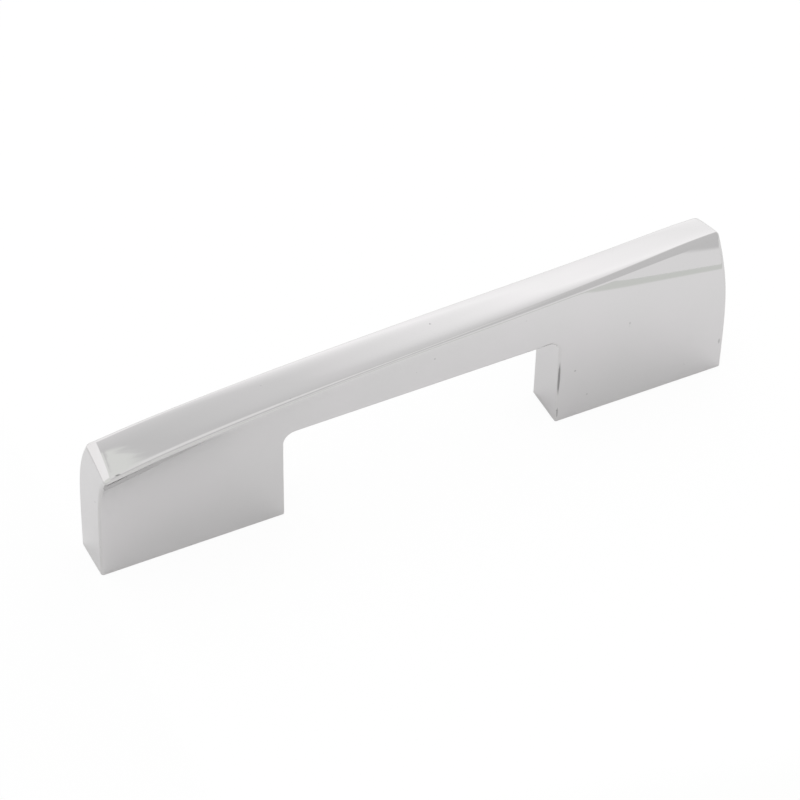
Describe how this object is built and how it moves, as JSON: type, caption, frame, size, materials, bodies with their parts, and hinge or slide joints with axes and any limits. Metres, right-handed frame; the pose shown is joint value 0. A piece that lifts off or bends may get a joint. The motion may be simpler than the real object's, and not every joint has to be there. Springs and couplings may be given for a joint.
{
  "type": "bar pull",
  "caption": "Chrome cabinet bar pull cast in one piece: a slim bar, turned a little along its length, on broad flat feet with tapped screw holes and a finger gap between them.",
  "frame": {"origin": "middle of the mounting plane, between the two screw holes, under the middle of the bar", "axes": "+X along the bar, +Y from the front face to the back face, +Z away from the drawer front"},
  "size_m": [0.1336, 0.0178, 0.032],
  "materials": {
    "chrome_plate": "polished chrome plating on a zinc casting"
  },
  "bodies": {
    "root": {"pull_body": "chrome_plate"}
  },
  "joints": []
}
